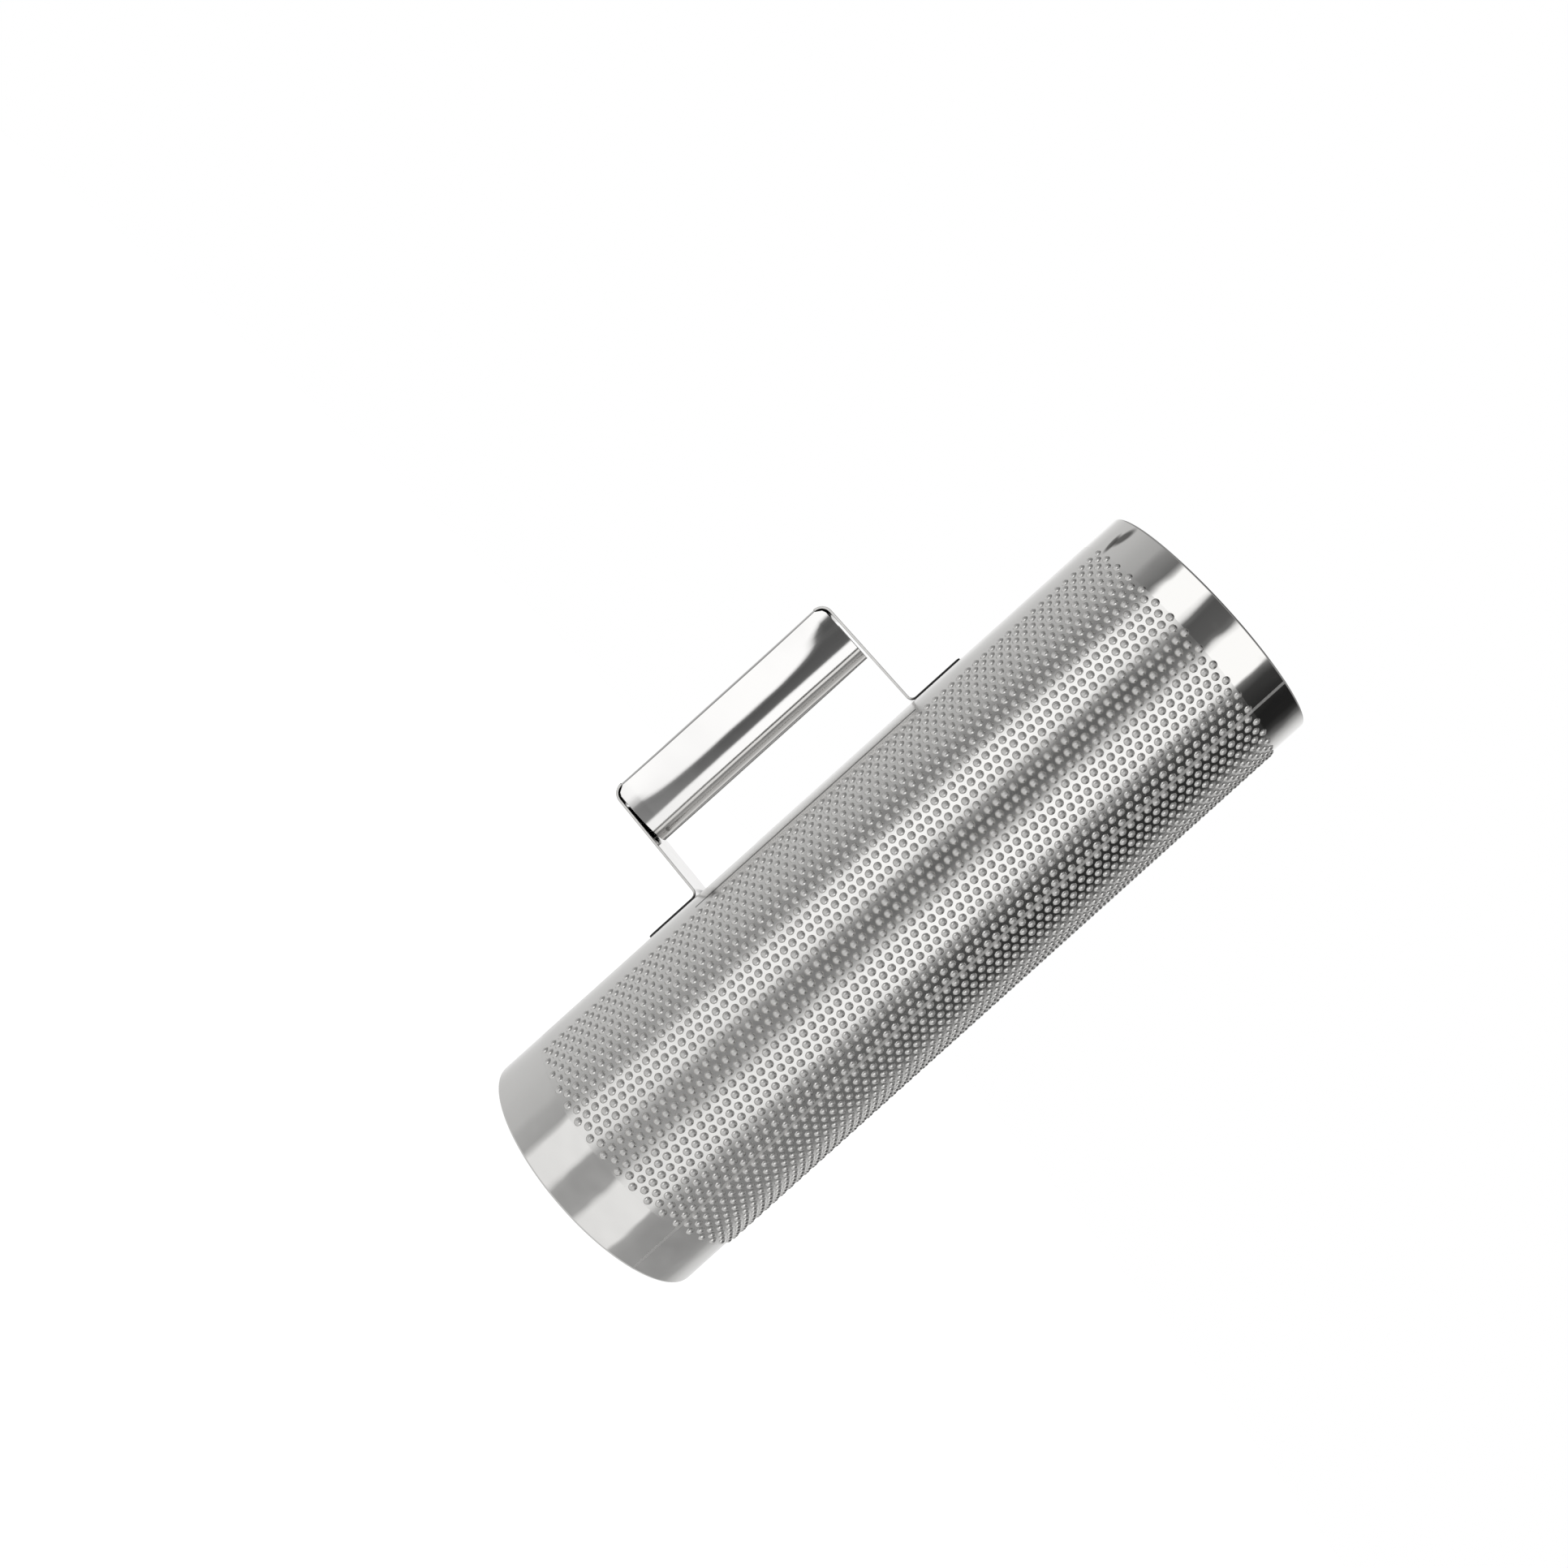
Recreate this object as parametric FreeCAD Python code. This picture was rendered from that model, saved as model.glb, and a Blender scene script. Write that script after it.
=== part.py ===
"""Guira: a rolled steel scraper tube with a field of raised bumps and a folded sheet handle.

The tube stands on its open end. The origin is on the tube's axis in the plane of the lower rim,
+Z runs up the axis and the handle is on the -X side. Sizes are in millimetres.
"""

import FreeCAD, Part
import math
import os

Vector = FreeCAD.Vector
UP = Vector(0, 0, 1)
ACROSS = Vector(0, 1, 0)

# Tube: one sheet rolled to a cylinder and welded along a butt seam
TUBE_DIAMETER = 102.0      # over the plain bands
TUBE_LENGTH = 302.0
TUBE_SHEET = 1.0
RIM_CHAMFER = 0.3          # broken edges of both rims

# Bump field: rows run along the tube, and every second row is shifted by half a pitch.
# The real sheet has round bumps at 3.87 mm. Here they are fewer, and each is a four-sided tip whose
# flanks run down to those of its neighbours.
PLAIN_BOTTOM = 20.6        # plain band below the field
PLAIN_TOP = 15.4           # plain band above the field
BUMP_HEIGHT = 0.9          # over the plain bands
BUMP_ROWS = 60             # round the tube, an even number
BUMP_PITCH = 5.5           # along the tube, between two bumps of one row
VALLEY_DEPTH = 0.1         # the sheet between the bumps lies this far under the plain bands

# Seat: the sheet's plain margins meet in one strip along the whole tube, which carries the handle
SEAT_WIDTH = 70.0          # measured round the tube

# Handle: one folded sheet with two feet, two uprights and a hollow grip
HANDLE_SHEET = 1.0
HANDLE_WIDTH = 20.0        # width of the strap, across the tube
HANDLE_BOTTOM = 94.0       # lower upright's outer face above the lower rim
HANDLE_LENGTH = 108.0      # from one upright's outer face to the other's
HANDLE_REACH = 52.5        # outer face of the grip above the plain tube
FOOT_LENGTH = 23.5         # beyond the upright's outer face
FOOT_CORNER = 2.5          # corner radius of a foot tip
FOOT_BEND = 3.0            # outer radius of the bends at the feet
FOOT_CLEARANCE = 0.1       # between a foot and the tube
TOP_BEND = 5.0             # outer radius of the bends at the top of the uprights

# Grip: the strap's long edges are folded down as wings that curl in under the fingers
WING_FLAT = 10.6           # strap's outer face to the start of the curl
CURL_DEPTH = 14.8          # from there to the underside of the grip
SHOULDER_RADIUS = 1.6      # outer radius of the fold along the strap's long edges
WING_GAP = 1.5             # between a wing's end and the upright
WING_SEAM = 1.2            # slot between the two wing edges under the grip


def tube_radius():
    """Outside radius of the plain bands."""
    return TUBE_DIAMETER / 2


def bore_radius():
    """Inside radius of the tube."""
    return tube_radius() - TUBE_SHEET


def field_length():
    """Length of the bump field between the two plain bands."""
    return TUBE_LENGTH - PLAIN_BOTTOM - PLAIN_TOP


def seat_half_angle():
    """Angle from the middle of the seat to its long edge, in degrees."""
    return math.degrees(SEAT_WIDTH / 2 / tube_radius())


def in_seat(angle):
    """Whether a bump at this angle in degrees would stand on the plain seat."""
    return abs(angle - 180) < seat_half_angle() + 180 / BUMP_ROWS


def field_point(row, step, steps):
    """A corner of the bump field: a tip where row and step add up to an even number."""
    angle = 360 * row / BUMP_ROWS
    height = PLAIN_BOTTOM + field_length() * step / steps
    is_tip = (row + step) % 2 == 0 and 0 < step < steps and not in_seat(angle)
    radius = tube_radius() + (BUMP_HEIGHT if is_tip else -VALLEY_DEPTH)
    turn = math.radians(angle)
    return Vector(radius * math.cos(turn), radius * math.sin(turn), height)


def flat_face(points):
    """A flat face through the given corners."""
    return Part.Face(Part.makePolygon(points + points[:1]))


def bumpy_bar():
    """A solid bar whose side is the bump field: four flanks rise to every tip."""
    steps = 2 * round(field_length() / BUMP_PITCH)
    grid = [[field_point(row, step, steps) for step in range(steps + 1)] for row in range(BUMP_ROWS)]
    faces = []
    for row in range(BUMP_ROWS):
        left = grid[row]
        right = grid[(row + 1) % BUMP_ROWS]
        for step in range(steps):
            low_left, low_right = left[step], right[step]
            high_left, high_right = left[step + 1], right[step + 1]
            if (row + step) % 2 == 0:
                faces.append(flat_face([low_left, low_right, high_left]))
                faces.append(flat_face([high_right, high_left, low_right]))
            else:
                faces.append(flat_face([low_right, high_right, low_left]))
                faces.append(flat_face([high_left, low_left, high_right]))
    faces.append(flat_face([line[0] for line in reversed(grid)]))
    faces.append(flat_face([line[steps] for line in grid]))
    return Part.Solid(Part.Shell(faces))


def plain_bar(bottom, height, half_angle=180):
    """A plain length of the bar, or only the sector of it that lies round the -X side."""
    bar = Part.makeCylinder(tube_radius(), height, Vector(0, 0, bottom), UP, 2 * half_angle)
    bar.rotate(Vector(0, 0, 0), UP, 180 - half_angle)
    return bar


def rim_edges(tube):
    """The four circles at the tube's two open ends."""
    def at_an_end(edge):
        box = edge.BoundBox
        level = box.ZMax - box.ZMin < RIM_CHAMFER / 10
        return level and min(abs(box.ZMin), abs(box.ZMin - TUBE_LENGTH)) < RIM_CHAMFER / 10
    return [edge for edge in tube.Edges if at_an_end(edge)]


def scraper_tube():
    """The tube: the bump field, its two plain bands and the seat, bored out and dressed."""
    bar = bumpy_bar().fuse([plain_bar(0, PLAIN_BOTTOM),
                            plain_bar(TUBE_LENGTH - PLAIN_TOP, PLAIN_TOP),
                            plain_bar(0, TUBE_LENGTH, seat_half_angle())])
    tube = bar.cut(Part.makeCylinder(bore_radius(), TUBE_LENGTH))
    return tube.makeChamfer(min(RIM_CHAMFER, 0.3 * TUBE_SHEET), rim_edges(tube))


def rounded_wire(corners):
    """A closed wire of straight runs through (point, radius) corners, with an arc at each radius."""
    edges = []
    last = None
    first = None
    for index, (point, radius) in enumerate(corners):
        before = corners[index - 1][0]
        after = corners[(index + 1) % len(corners)][0]
        back = (before - point).normalize()
        ahead = (after - point).normalize()
        half_turn = (math.pi - back.getAngle(ahead)) / 2
        start = point + back * radius * math.tan(half_turn)
        end = point + ahead * radius * math.tan(half_turn)
        if last is None:
            first = start
        else:
            edges.append(Part.makeLine(last, start))
        if radius > 0:
            middle_way = (back + ahead).normalize()
            middle = point + middle_way * radius * (1 / math.cos(half_turn) - 1)
            edges.append(Part.Arc(start, middle, end).toShape())
        last = end
    edges.append(Part.makeLine(last, first))
    return Part.Wire(edges)


def side_point(reach, height):
    """A point of the handle's side view, by its distance from the tube's axis and its height."""
    return Vector(-reach, 0, height)


def strap_profile(foot_reach):
    """Side view of the strap: foot, upright, top, upright and foot, one sheet thick."""
    low = HANDLE_BOTTOM
    high = HANDLE_BOTTOM + HANDLE_LENGTH
    top_reach = tube_radius() + HANDLE_REACH
    sheet = HANDLE_SHEET
    outer_face = [
        (side_point(foot_reach + sheet, low - FOOT_LENGTH), 0),
        (side_point(foot_reach + sheet, low), FOOT_BEND - sheet),
        (side_point(top_reach, low), TOP_BEND),
        (side_point(top_reach, high), TOP_BEND),
        (side_point(foot_reach + sheet, high), FOOT_BEND - sheet),
        (side_point(foot_reach + sheet, high + FOOT_LENGTH), 0)]
    inner_face = [
        (side_point(foot_reach, high + FOOT_LENGTH), 0),
        (side_point(foot_reach, high - sheet), FOOT_BEND),
        (side_point(top_reach - sheet, high - sheet), TOP_BEND - sheet),
        (side_point(top_reach - sheet, low + sheet), TOP_BEND - sheet),
        (side_point(foot_reach, low + sheet), FOOT_BEND),
        (side_point(foot_reach, low - FOOT_LENGTH), 0)]
    return Part.Face(rounded_wire(outer_face + inner_face))


def slab(nearest, farthest):
    """A block as wide as the strap, between two distances from the tube's axis."""
    return Part.makeBox(farthest - nearest, HANDLE_WIDTH, TUBE_LENGTH,
                        Vector(-farthest, -HANDLE_WIDTH / 2, 0))


def foot_tip_edges(strap):
    """The short edges at the outer corners of both feet."""
    def at_a_tip(edge):
        box = edge.BoundBox
        tips = (HANDLE_BOTTOM - FOOT_LENGTH, HANDLE_BOTTOM + HANDLE_LENGTH + FOOT_LENGTH)
        level = box.ZMax - box.ZMin < HANDLE_SHEET / 10
        along_x = box.YMax - box.YMin < HANDLE_SHEET
        return level and along_x and min(abs(box.ZMin - tip) for tip in tips) < HANDLE_SHEET / 10
    return [edge for edge in strap.Edges if at_a_tip(edge)]


def strap():
    """The strap, its feet bent round the tube and its top cut out for the grip."""
    profile = strap_profile(tube_radius() + FOOT_CLEARANCE)
    reach = tube_radius() + HANDLE_REACH
    split = tube_radius() + HANDLE_REACH / 2
    straight = profile.copy()
    straight.translate(Vector(0, -HANDLE_WIDTH / 2, 0))
    upper = straight.extrude(ACROSS * HANDLE_WIDTH).common(slab(split, reach))
    sector = 2 * math.degrees(math.asin(HANDLE_WIDTH / 2 / tube_radius())) + 10
    turned = profile.copy()
    turned.rotate(Vector(0, 0, 0), UP, -sector / 2)
    lower = turned.revolve(Vector(0, 0, 0), UP, sector).common(slab(0, split))
    whole = upper.fuse(lower).removeSplitter()
    whole = whole.makeFillet(FOOT_CORNER, foot_tip_edges(whole))
    return whole.cut(Part.makeBox(HANDLE_REACH / 2, HANDLE_WIDTH, wing_length(),
                                  Vector(-reach, -HANDLE_WIDTH / 2, wing_bottom())))


def wing_bottom():
    """Height of the wings' lower ends."""
    return HANDLE_BOTTOM + HANDLE_SHEET + WING_GAP


def wing_length():
    """Length of the wings between the two uprights, less their gaps."""
    return HANDLE_LENGTH - 2 * (HANDLE_SHEET + WING_GAP)


def grip_section(inset):
    """Cross-section of the grip: flat top, upright flanks and a half ellipse underneath."""
    top = tube_radius() + HANDLE_REACH - inset
    curl = tube_radius() + HANDLE_REACH - WING_FLAT
    side = HANDLE_WIDTH / 2 - inset
    depth = CURL_DEPTH - inset
    fold = SHOULDER_RADIUS - inset
    height = wing_bottom()

    def at(reach, across):
        return Vector(-reach, across, height)

    def shoulder(sign):
        middle = fold * (1 - math.sqrt(0.5))
        points = [at(top, sign * (side - fold)), at(top - middle, sign * (side - middle)),
                  at(top - fold, sign * side)]
        return Part.Arc(*points).toShape()

    ellipse = Part.Ellipse(at(curl - depth, 0), at(curl, side), at(curl, 0))
    lower_half = Part.Arc(ellipse, -math.pi / 2, math.pi / 2).toShape()
    edges = [Part.makeLine(at(top, side - fold), at(top, fold - side)), shoulder(1), shoulder(-1),
             Part.makeLine(at(top - fold, side), at(curl, side)),
             Part.makeLine(at(top - fold, -side), at(curl, -side)), lower_half]
    return Part.Face(Part.Wire(Part.__sortEdges__(edges)))


def grip():
    """The hollow grip between the uprights, with its seam underneath."""
    shell = grip_section(0).cut(grip_section(HANDLE_SHEET)).extrude(UP * wing_length())
    seam = Part.makeBox(CURL_DEPTH, WING_SEAM, wing_length(),
                        Vector(-tube_radius() - HANDLE_REACH + WING_FLAT, -WING_SEAM / 2, wing_bottom()))
    return shell.cut(seam)


def handle():
    """The folded sheet handle: strap and grip in one piece."""
    return strap().fuse(grip()).removeSplitter()


def main():
    """Write one STEP file for each piece."""
    os.makedirs("parts", exist_ok=True)
    pieces = {"scraper_tube": scraper_tube(), "handle": handle()}
    for node, shape in pieces.items():
        print(node, "solids", len(shape.Solids), "faces", len(shape.Faces),
              "valid", shape.isValid(), "volume", round(shape.Volume, 1))
        shape.exportStep("parts/" + node + ".step")


if __name__ == "__main__":
    main()
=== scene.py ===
"""Looks of a guira: an open steel tube with pressed bumps, and a handle folded from one steel sheet.

Everything is in metres. +Z runs up the tube's axis from its lower rim and the handle is on the -X side.
"""
import logging
import math
from dataclasses import dataclass, field
from enum import Enum
from typing import Sequence

import bmesh
import bpy
import numpy as np
from mathutils import Matrix, Vector

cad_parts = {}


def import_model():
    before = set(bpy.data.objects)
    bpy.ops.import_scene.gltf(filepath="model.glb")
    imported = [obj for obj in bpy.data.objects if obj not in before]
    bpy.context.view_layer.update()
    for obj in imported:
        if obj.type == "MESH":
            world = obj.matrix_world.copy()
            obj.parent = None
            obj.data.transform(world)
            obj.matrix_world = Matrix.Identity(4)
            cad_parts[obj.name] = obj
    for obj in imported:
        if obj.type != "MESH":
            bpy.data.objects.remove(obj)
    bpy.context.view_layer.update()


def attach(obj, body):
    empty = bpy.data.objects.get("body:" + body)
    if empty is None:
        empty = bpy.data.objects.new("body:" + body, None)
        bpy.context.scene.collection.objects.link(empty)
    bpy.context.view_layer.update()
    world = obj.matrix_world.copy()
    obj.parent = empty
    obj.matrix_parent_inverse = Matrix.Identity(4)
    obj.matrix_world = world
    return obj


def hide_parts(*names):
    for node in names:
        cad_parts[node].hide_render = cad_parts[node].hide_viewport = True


LOG = logging.getLogger("guira")
MM = 0.001
# Two places nearer than this are the same place.
CLOSE = 1e-7
# Stands for the ring number of a point that lies on no bump.
OFF_BUMP = 99


def linear(code: str) -> tuple[float, float, float, float]:
    """Turn an sRGB hex colour to linear values.

    Args:
        code: Six hex digits after a hash sign.

    Returns:
        Red, green, blue and an alpha of 1.
    """
    digits = code.lstrip("#")
    parts = [int(digits[i : i + 2], 16) / 255 for i in (0, 2, 4)]
    rgb = [p / 12.92 if p <= 0.04045 else ((p + 0.055) / 1.055) ** 2.4 for p in parts]
    return (rgb[0], rgb[1], rgb[2], 1.0)


def grey(level: float) -> float:
    """Turn a grey level from 0 to 255, as the eye reads it, to a linear value."""
    part = level / 255
    return part / 12.92 if part <= 0.04045 else ((part + 0.055) / 1.055) ** 2.4


def add_node(
    tree: bpy.types.NodeTree, kind: str, settings: dict | None = None, **links: object
) -> bpy.types.Node:
    """Add one node, set its properties and inputs, and link what is given.

    Args:
        tree: The node tree that gets the node.
        kind: Blender's name for the node type.
        settings: Properties of the node by name.
        links: Inputs by name, with spaces written as underscores or as in0, in1 for a place in the list.
            A socket is linked and any other value is set.

    Returns:
        The new node.
    """
    node = tree.nodes.new(kind)
    for name, value in (settings or {}).items():
        setattr(node, name, value)
    for name, value in links.items():
        by_place = name.startswith("in") and name[2:].isdigit()
        socket = node.inputs[int(name[2:]) if by_place else name.replace("_", " ")]
        if isinstance(value, bpy.types.NodeSocket):
            tree.links.new(value, socket)
        else:
            socket.default_value = value
    return node


def maths(tree: bpy.types.NodeTree, operation: str, *values: object) -> bpy.types.NodeSocket:
    """Add a Math node.

    Args:
        tree: The node tree that gets the node.
        operation: Blender's name for the operation.
        values: The inputs in order, each a socket or a number.

    Returns:
        The result.
    """
    inputs = {f"in{number}": value for number, value in enumerate(values)}
    return add_node(tree, "ShaderNodeMath", {"operation": operation}, **inputs).outputs[0]


def ranged(
    tree: bpy.types.NodeTree,
    value: bpy.types.NodeSocket,
    span: tuple[float, float],
    result: tuple[float, float] = (0.0, 1.0),
    eased: bool = False,
) -> bpy.types.NodeSocket:
    """Map a value from one range to another, and hold it at the range's ends.

    Args:
        tree: The node tree that gets the node.
        value: What is mapped.
        span: Where the range starts and ends.
        result: What comes out at those two.
        eased: Whether the change is slow near both ends.

    Returns:
        The mapped value.
    """
    return add_node(
        tree,
        "ShaderNodeMapRange",
        {"interpolation_type": "SMOOTHSTEP" if eased else "LINEAR"},
        Value=value,
        From_Min=span[0],
        From_Max=span[1],
        To_Min=result[0],
        To_Max=result[1],
    ).outputs[0]


def blend(
    tree: bpy.types.NodeTree, share: bpy.types.NodeSocket, first: object, second: object
) -> bpy.types.NodeSocket:
    """Mix two colours, of which the second shows where the share is 1."""
    return add_node(
        tree, "ShaderNodeMix", {"data_type": "RGBA"}, in0=share, in6=first, in7=second
    ).outputs[2]


class Surface(Enum):
    """How the sheet's surface was made, and by how much its fine lines are stretched along the tube."""

    BUFFED = 40.0
    SHEARED = 3.0


@dataclass(frozen=True)
class SteelFinish:
    """Stainless steel sheet, with the marks that its making left, and some painted shade and painted
    reflections.
    """

    name: str
    surface: Surface
    colour: str
    roughness: float
    roughness_spread: float
    scratch_width_mm: float
    scratch_depth: float
    smudge_mm: float
    ripple_mm: float
    ripple_depth_mm: float
    bump_roughness: float = 0.0
    field_roughness: float = 0.0
    field_span: tuple[float, float] = (0.0, 1.0)
    plain_radius: float = 1.0
    # Painted shade: near the tube the colour darkens to a dark grey, standing for the shade where the feet
    # meet the tube.
    joint_shade_radius: float | None = None
    joint_shade_colour: str = "#4C4C4C"
    weld_line: float | None = None
    weld_width_mm: float = 1.6
    weld_roughness: float = 0.45
    # Painted shade: dark lines along the tube beside the handle, between its uprights; the sheet has no
    # groove there.
    scribed_lines: tuple[tuple[float, float, float, float], ...] = ()
    painted_shade_colour: str = "#747474"
    # Painted reflections: short dark strokes on the plain band, standing for something dark mirrored in it.
    painted_reflections: tuple[tuple[float, float, float, float, float], ...] = ()
    painted_reflection_colour: str = "#3C3A38"

    def material(self) -> bpy.types.Material:
        """Make the node material.

        Returns:
            The material, named for the finish.
        """
        made = bpy.data.materials.new(self.name)
        made.use_nodes = True
        tree = made.node_tree
        tree.nodes.clear()
        place = add_node(tree, "ShaderNodeTexCoord").outputs["Object"]
        across = 1 / (self.scratch_width_mm * MM)
        along = across / self.surface.value
        grain = add_node(tree, "ShaderNodeMapping", Vector=place, Scale=(across, across, along))
        scratches = add_node(
            tree, "ShaderNodeTexNoise", Vector=grain.outputs[0], Scale=1.0, Detail=4.0, Roughness=0.6
        )
        smudges = add_node(
            tree,
            "ShaderNodeTexNoise",
            Vector=place,
            Scale=1 / (self.smudge_mm * MM),
            Detail=3.0,
            Roughness=0.55,
        )
        mixed = maths(tree, "MULTIPLY", scratches.outputs[0], smudges.outputs[0])
        rough = ranged(
            tree, mixed, (0.12, 0.45), (self.roughness, self.roughness + self.roughness_spread)
        )
        colour = linear(self.colour)
        if self.bump_roughness:
            rough = self.dull_bumps(tree, place, rough)
            rough = self.dull_field(tree, place, rough)
        if self.weld_line is not None:
            line = self.line_mask(tree, place, self.weld_line, self.weld_width_mm)
            rough = maths(tree, "MULTIPLY_ADD", line, self.weld_roughness, rough)
        # Painted shade beside the handle, as dark lines along the tube.
        for azimuth, width_mm, low, high in self.scribed_lines:
            line = self.line_mask(tree, place, azimuth, width_mm, (low, high))
            colour = blend(tree, line, colour, linear(self.painted_shade_colour))
        # Painted reflections of something dark, as short strokes on the plain band.
        for stroke in self.painted_reflections:
            mask = self.painted_reflection_mask(tree, place, *stroke)
            colour = blend(tree, mask, colour, linear(self.painted_reflection_colour))
        # Painted shade in the gap where the handle's feet meet the tube.
        if self.joint_shade_radius is not None:
            colour = self.paint_joint_shade(tree, place, colour)
        ripple = add_node(
            tree,
            "ShaderNodeTexNoise",
            Vector=place,
            Scale=1 / (self.ripple_mm * MM),
            Detail=1.0,
            Roughness=0.4,
        )
        waves = add_node(
            tree,
            "ShaderNodeBump",
            Strength=1.0,
            Distance=self.ripple_depth_mm * MM,
            Height=ripple.outputs[0],
        )
        bump = add_node(
            tree,
            "ShaderNodeBump",
            Strength=self.scratch_depth,
            Distance=0.02 * MM,
            Height=scratches.outputs[0],
            Normal=waves.outputs[0],
        )
        shader = add_node(
            tree,
            "ShaderNodeBsdfPrincipled",
            Base_Color=colour,
            Metallic=1.0,
            Roughness=rough,
            Normal=bump.outputs[0],
        )
        add_node(tree, "ShaderNodeOutputMaterial", Surface=shader.outputs[0])
        return made

    def dull_bumps(
        self, tree: bpy.types.NodeTree, place: bpy.types.NodeSocket, rough: bpy.types.NodeSocket
    ) -> bpy.types.NodeSocket:
        """Make the sheet rougher where it was pressed out, since the press stretches the buffed skin.

        Args:
            tree: The material's nodes.
            place: Object coordinates.
            rough: The roughness so far.

        Returns:
            The roughness with the dull bumps.
        """
        flank = (self.plain_radius + 0.45 * MM, self.plain_radius + 0.85 * MM)
        pressed = ranged(tree, self.from_axis(tree, place), flank, (0.0, self.bump_roughness), eased=True)
        return maths(tree, "ADD", rough, pressed)

    def dull_field(
        self, tree: bpy.types.NodeTree, place: bpy.types.NodeSocket, rough: bpy.types.NodeSocket
    ) -> bpy.types.NodeSocket:
        """Make the sheet duller between the bumps than on the plain bands, which are buffed last.

        Args:
            tree: The material's nodes.
            place: Object coordinates.
            rough: The roughness so far.

        Returns:
            The roughness with the duller field.
        """
        axes = add_node(tree, "ShaderNodeSeparateXYZ", Vector=place)
        low, high = self.field_span
        within = maths(tree, "COMPARE", axes.outputs["Z"], (low + high) / 2, (high - low) / 2)
        return maths(tree, "MULTIPLY_ADD", within, self.field_roughness, rough)

    def painted_reflection_mask(
        self,
        tree: bpy.types.NodeTree,
        place: bpy.types.NodeSocket,
        azimuth: float,
        height: float,
        lean: float,
        half_width: float,
        half_length: float,
    ) -> bpy.types.NodeSocket:
        """Mask a painted reflection: a short dark stroke on the plain band, standing for something dark
        mirrored there.

        Args:
            tree: The material's nodes.
            place: Object coordinates.
            azimuth: Where the stroke's middle is, as an angle from +X.
            height: Its middle above the lower rim.
            lean: The angle by which it leans away from the tube's axis.
            half_width: Half its width.
            half_length: Half its length.

        Returns:
            1 on the stroke and 0 off it.
        """
        middle = (self.plain_radius * math.cos(azimuth), self.plain_radius * math.sin(azimuth), height)
        within = add_node(
            tree,
            "ShaderNodeMapping",
            {"vector_type": "TEXTURE"},
            Vector=place,
            Location=middle,
            Rotation=(lean, 0.0, azimuth),
            Scale=(6.0 * MM, half_width, half_length),
        )
        reach = add_node(tree, "ShaderNodeVectorMath", {"operation": "LENGTH"}, in0=within.outputs[0])
        return ranged(tree, reach.outputs["Value"], (0.45, 1.1), (0.85, 0.0), eased=True)

    def paint_joint_shade(
        self, tree: bpy.types.NodeTree, place: bpy.types.NodeSocket, colour: tuple[float, ...]
    ) -> bpy.types.NodeSocket:
        """Paint shade on the metal next to the tube: the cut edges turn dark where the feet meet it,
        standing for the shade in the gap under the feet.

        Args:
            tree: The material's nodes.
            place: Object coordinates.
            colour: The colour without the painted shade.

        Returns:
            The colour with the painted shade.
        """
        fade = (self.joint_shade_radius - 0.2 * MM, self.joint_shade_radius + 0.8 * MM)
        near = ranged(tree, self.from_axis(tree, place), fade, (1.0, 0.0))
        return blend(tree, near, colour, linear(self.joint_shade_colour))

    @staticmethod
    def from_axis(tree: bpy.types.NodeTree, place: bpy.types.NodeSocket) -> bpy.types.NodeSocket:
        """Give the distance of a point from the tube's axis."""
        flat = add_node(
            tree, "ShaderNodeVectorMath", {"operation": "MULTIPLY"}, in0=place, in1=(1.0, 1.0, 0.0)
        )
        return add_node(
            tree, "ShaderNodeVectorMath", {"operation": "LENGTH"}, in0=flat.outputs[0]
        ).outputs["Value"]

    def line_mask(
        self,
        tree: bpy.types.NodeTree,
        place: bpy.types.NodeSocket,
        azimuth: float,
        width_mm: float,
        span: tuple[float, float] = (-1.0, 1.0),
    ) -> bpy.types.NodeSocket:
        """Mask a line that runs along the tube.

        Args:
            tree: The material's nodes.
            place: Object coordinates.
            azimuth: Where the line is, as an angle from +X.
            width_mm: The line's width.
            span: The heights at which it starts and ends.

        Returns:
            1 on the line and 0 off it.
        """
        middle = (span[0] + span[1]) / 2
        half = (span[1] - span[0]) / 2
        turned = add_node(tree, "ShaderNodeMapping", Vector=place, Rotation=(0.0, 0.0, -azimuth))
        axes = add_node(tree, "ShaderNodeSeparateXYZ", Vector=turned.outputs[0])
        off = maths(tree, "ABSOLUTE", axes.outputs["Y"])
        fade = (0.25 * width_mm * MM, 0.6 * width_mm * MM)
        line = ranged(tree, off, fade, (1.0, 0.0), eased=True)
        near = maths(tree, "GREATER_THAN", axes.outputs["X"], 0.0)
        within = maths(tree, "COMPARE", axes.outputs["Z"], middle, half)
        return maths(tree, "MULTIPLY", maths(tree, "MULTIPLY", line, near), within)


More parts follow.
